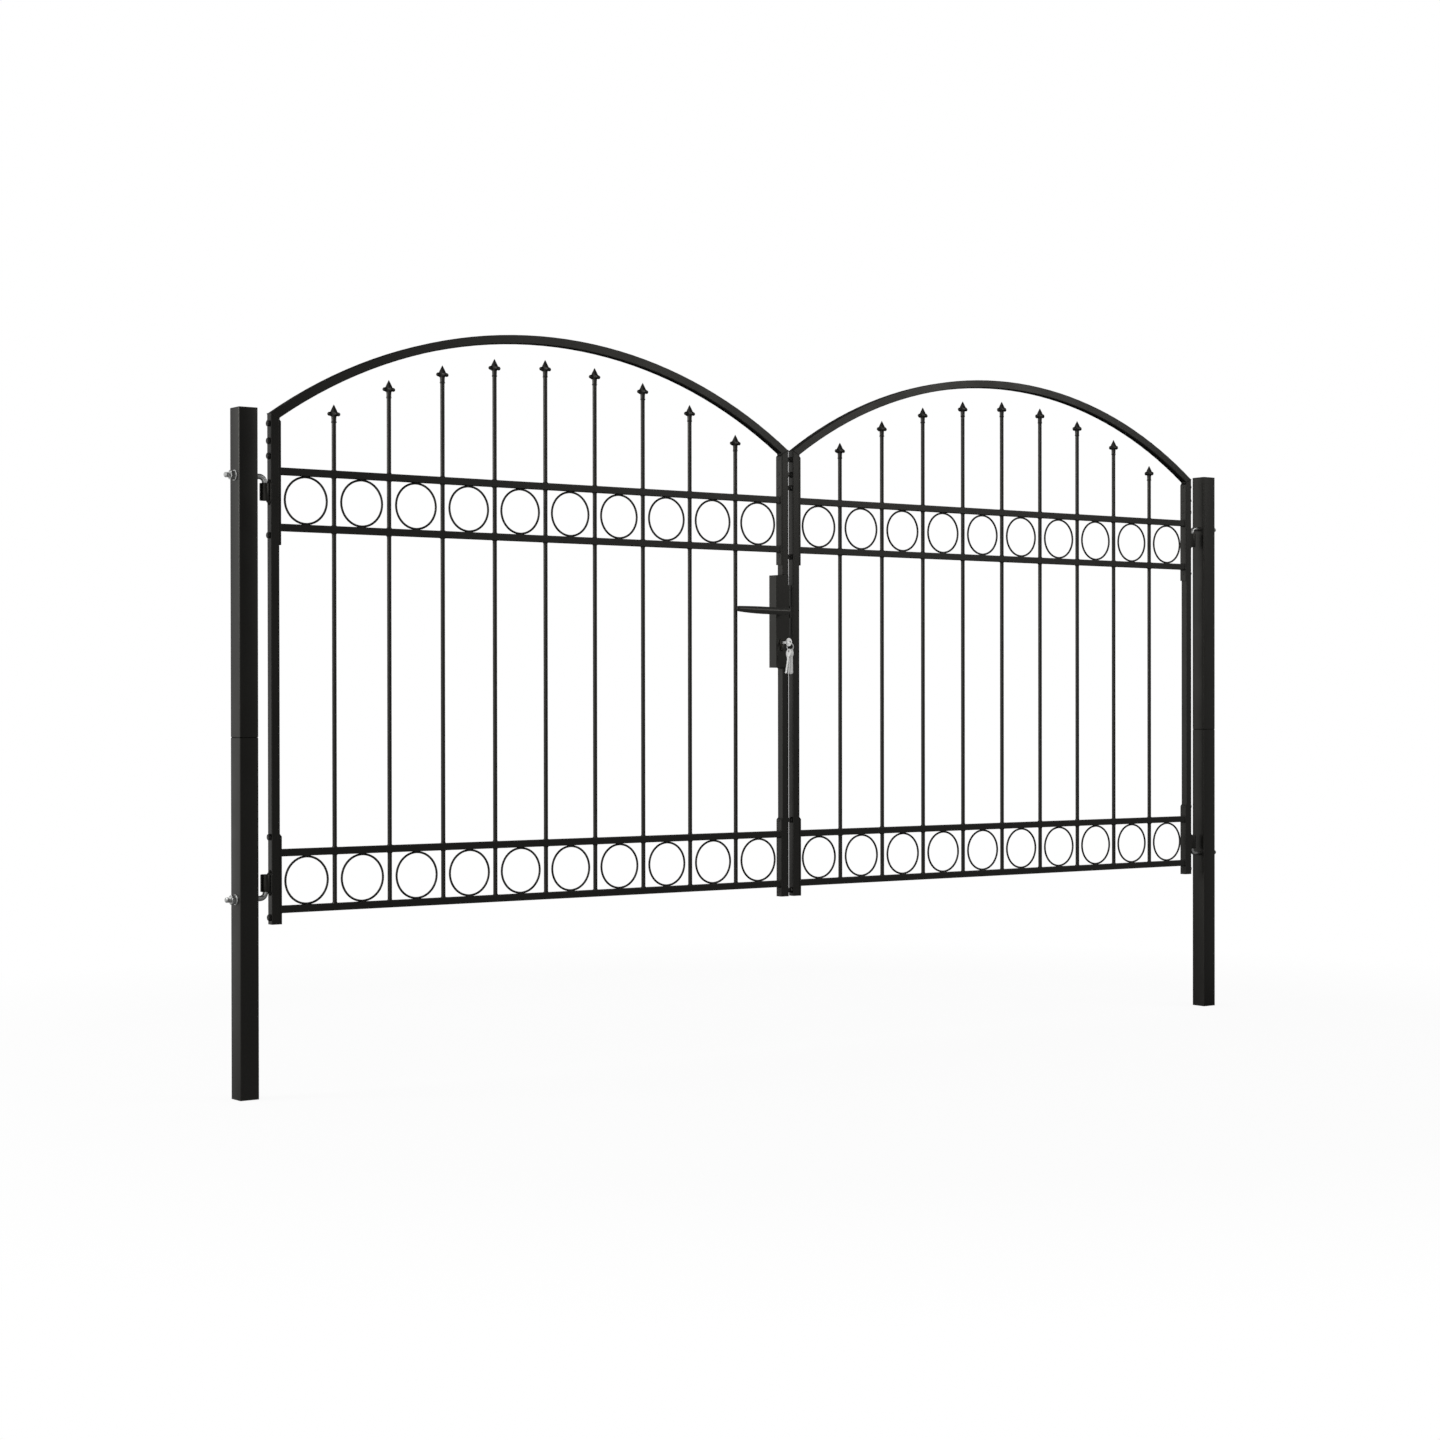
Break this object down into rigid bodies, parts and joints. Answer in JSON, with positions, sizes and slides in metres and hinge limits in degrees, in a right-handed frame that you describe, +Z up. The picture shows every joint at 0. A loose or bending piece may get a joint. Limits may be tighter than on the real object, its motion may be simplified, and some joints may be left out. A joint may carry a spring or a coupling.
{
  "type": "double fence gate",
  "caption": "Double fence gate with two arched leaves of spear-topped pickets and rings, hung between square posts on bent hinge bolts, with a lever lock.",
  "frame": {"origin": "centre of the left post's foot face, seen from the front", "axes": "+X along the gate from the left post to the right post, +Z up, front side towards -Y"},
  "size_m": [3.083, 0.0815, 1.7169],
  "materials": {
    "black_coat": "satin black powder coat on steel",
    "cap_black": "moulded black plastic",
    "black_bolt": "black painted steel",
    "galvanised": "zinc plated steel",
    "lock_black": "blackened brass",
    "lock_steel": "brushed nickel plate",
    "key_steel": "polished nickel plate",
    "lever_black": "satin black lacquer"
  },
  "bodies": {
    "posts": {"left_post_lower": "black_coat", "left_post_upper": "black_coat", "left_post_cap": "cap_black", "left_upper_hinge_bolt": "galvanised", "left_lower_hinge_bolt": "galvanised", "left_hinge_nuts": "galvanised", "right_post_lower": "black_coat", "right_post_upper": "black_coat", "right_post_cap": "cap_black", "right_upper_hinge_bolt": "galvanised", "right_lower_hinge_bolt": "galvanised", "right_hinge_nuts": "galvanised"},
    "left_leaf": {"left_hinge_stile": "black_coat", "left_lock_stile": "black_coat", "left_arch": "black_coat", "left_panel": "black_coat", "left_spear_tips": "black_coat", "left_upper_end_plates": "black_coat", "left_lower_end_plates": "black_coat", "left_panel_bolts": "black_bolt", "left_upper_hinge_sleeve": "black_coat", "left_lower_hinge_sleeve": "black_coat", "lock_case": "black_coat", "lock_cylinder": "lock_black", "lock_face_plate": "black_coat", "lock_key": "key_steel", "key_ring": "key_steel", "spare_keys": "key_steel"},
    "right_leaf": {"right_hinge_stile": "black_coat", "right_lock_stile": "black_coat", "right_arch": "black_coat", "right_panel": "black_coat", "right_spear_tips": "black_coat", "right_upper_end_plates": "black_coat", "right_lower_end_plates": "black_coat", "right_panel_bolts": "black_bolt", "right_upper_hinge_sleeve": "black_coat", "right_lower_hinge_sleeve": "black_coat", "keep_plate": "black_coat"},
    "lever": {"lever": "lever_black", "lever_spindle": "lock_steel"}
  },
  "joints": [
    {"name": "left_leaf_swing", "type": "hinge", "parent": "posts", "child": "left_leaf", "pos_m": [0.049, 0, 0.9], "axis": [0, 0, 1], "range_deg": [-90, 90]},
    {"name": "right_leaf_swing", "type": "hinge", "parent": "posts", "child": "right_leaf", "pos_m": [2.941, 0, 0.9], "axis": [0, 0, -1], "range_deg": [-90, 90]},
    {"name": "lever_turn", "type": "hinge", "parent": "left_leaf", "child": "lever", "pos_m": [1.463, 0, 1.088], "axis": [0, -1, 0], "range_deg": [0, 40], "stiffness_Nm_per_rad": 1.2, "springref_deg": -22.92}
  ]
}
